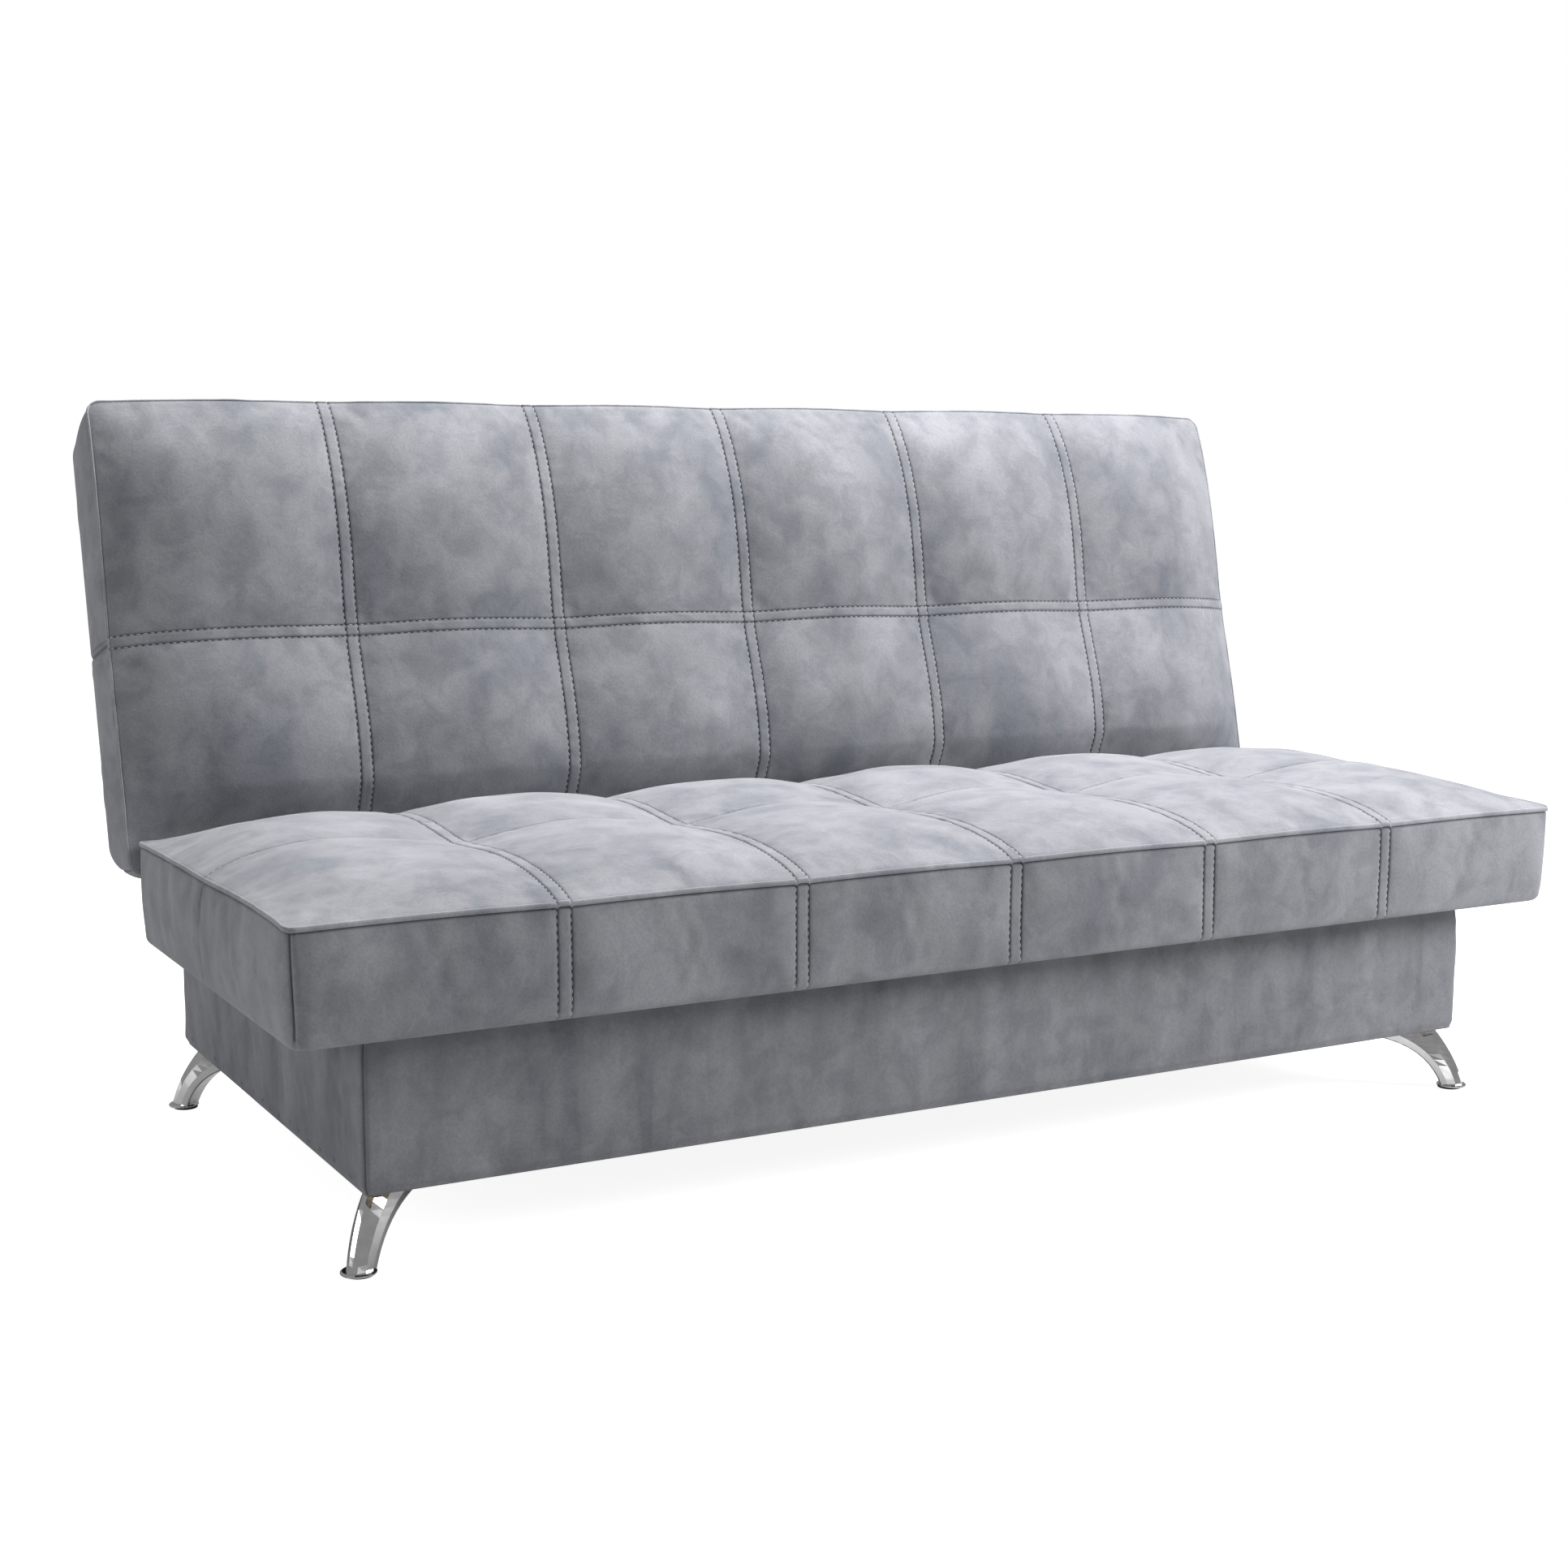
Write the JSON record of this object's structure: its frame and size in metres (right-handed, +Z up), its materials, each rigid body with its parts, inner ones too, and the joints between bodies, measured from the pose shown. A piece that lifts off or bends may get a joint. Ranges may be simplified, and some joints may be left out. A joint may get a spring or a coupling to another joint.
{
  "type": "futon sofa bed",
  "caption": "Armless click-clack sofa bed: square-stitched velour seat and reclining back on a bedding box with curved chrome legs; the back folds flat and the seat lifts.",
  "frame": {"origin": "on the floor under the middle of the sofa's box", "axes": "+X along the width, to the right as seen from the front, +Y to the rear, +Z up"},
  "size_m": [1.918, 0.9851, 1.0136],
  "materials": {
    "velour": "matte",
    "foam": "matte",
    "board": "matte",
    "black_cloth": "matte",
    "chrome": "polished",
    "steel": "satin",
    "zinc": "satin",
    "rubber": "matte"
  },
  "bodies": {
    "base": {"box_front_board": "board", "box_rear_board": "board", "box_left_board": "board", "box_right_board": "board", "box_bottom_panel": "board", "box_centre_bearer": "board", "corner_block_front_left": "board", "corner_block_front_right": "board", "corner_block_rear_left": "board", "corner_block_rear_right": "board", "rest_pad_left": "rubber", "rest_pad_right": "rubber", "box_front_cover": "velour", "box_rear_cover": "velour", "box_left_cover": "velour", "box_right_cover": "velour", "leg_front_left": "chrome", "leg_glide_front_left": "rubber", "leg_front_right": "chrome", "leg_glide_front_right": "rubber", "leg_rear_left": "chrome", "leg_glide_rear_left": "rubber", "leg_rear_right": "chrome", "leg_glide_rear_right": "rubber", "base_plate_left": "zinc", "base_pin_front_left": "zinc", "base_pin_rear_left": "zinc", "base_plate_right": "zinc", "base_pin_front_right": "zinc", "base_pin_rear_right": "zinc"},
    "front_links": {"front_link_left": "zinc", "front_link_right": "zinc"},
    "rear_links": {"rear_link_left": "zinc", "rear_link_right": "zinc"},
    "carriage": {"hinge_carrier_left": "steel", "hinge_bolt_left": "zinc", "hinge_carrier_right": "steel", "hinge_bolt_right": "zinc", "sync_tube": "steel"},
    "seat": {"seat_front_rail": "steel", "seat_rear_rail": "steel", "seat_left_rail": "steel", "seat_right_rail": "steel", "seat_arm_left": "steel", "seat_arm_right": "steel", "seat_deck": "board", "seat_foam": "foam", "seat_cover": "velour", "seat_dust_cloth": "black_cloth"},
    "back": {"back_arm_left": "steel", "back_arm_right": "steel", "back_bottom_rail": "steel", "back_top_rail": "steel", "back_left_rail": "steel", "back_right_rail": "steel", "back_deck": "board", "back_foam": "foam", "back_cover": "velour", "back_rear_cloth": "velour"}
  },
  "joints": [
    {"name": "back_recline", "type": "hinge", "parent": "carriage", "child": "back", "pos_m": [0, 0.232, 0.412], "axis": [-1, 0, 0], "range_deg": [0, 76]},
    {"name": "seat_lift", "type": "hinge", "parent": "carriage", "child": "seat", "pos_m": [0, 0.232, 0.412], "axis": [-1, 0, 0], "range_deg": [0, 30]},
    {"name": "front_link_swing", "type": "hinge", "parent": "base", "child": "front_links", "pos_m": [0, -0.0725, 0.125], "axis": [1, 0, 0], "range_deg": [0, 76]},
    {"name": "carriage_level", "type": "hinge", "parent": "front_links", "child": "carriage", "pos_m": [0, 0.01677, 0.23926], "axis": [-1, 0, 0], "range_deg": [0, 76]},
    {"name": "rear_link_swing", "type": "hinge", "parent": "base", "child": "rear_links", "pos_m": [0, 0.1075, 0.125], "axis": [1, 0, 0], "range_deg": [0, 76]}
  ],
  "couplings": [
    {"joint": "front_link_swing", "follows": "back_recline", "ratio": 1},
    {"joint": "carriage_level", "follows": "back_recline", "ratio": 1},
    {"joint": "rear_link_swing", "follows": "back_recline", "ratio": 1}
  ]
}
